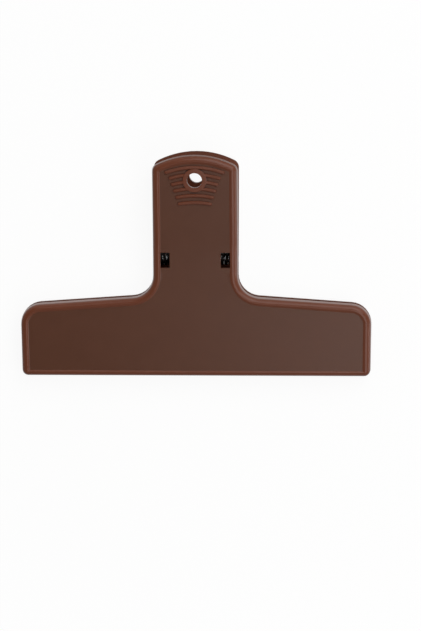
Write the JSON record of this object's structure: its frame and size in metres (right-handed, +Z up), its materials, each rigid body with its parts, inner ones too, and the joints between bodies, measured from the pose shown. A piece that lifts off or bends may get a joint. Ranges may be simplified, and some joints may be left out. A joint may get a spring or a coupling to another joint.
{
  "type": "plastic clip",
  "caption": "T-shaped sprung plastic clip with wide jaws for paper, ridged handles with a hanging hole, a steel hinge pin and a double torsion spring seen through small windows.",
  "frame": {"origin": "on the surface that the clip lies on, below the middle of its overall box", "axes": "+X along the jaws, +Y from the lips towards the top of the handle, +Z up out of the front half's face; the clip lies on its back, on the rear half's jaw and the top of its handle"},
  "size_m": [0.1518, 0.0972, 0.0269],
  "materials": {
    "plastic": "satin dark brown moulded plastic",
    "pin_steel": "bright drawn steel",
    "spring_steel": "dark oiled spring wire"
  },
  "bodies": {
    "rear": {"rear_half": "plastic", "hinge_pin": "pin_steel", "torsion_spring": "spring_steel"},
    "front": {"front_half": "plastic"}
  },
  "joints": [
    {"name": "jaw_hinge", "type": "hinge", "parent": "rear", "child": "front", "pos_m": [0, 0.00231, 0.00974], "axis": [-1, 0, 0], "range_deg": [0, 20], "stiffness_Nm_per_rad": 0.8, "springref_deg": -34.38, "deforming": ["torsion_spring"]}
  ]
}
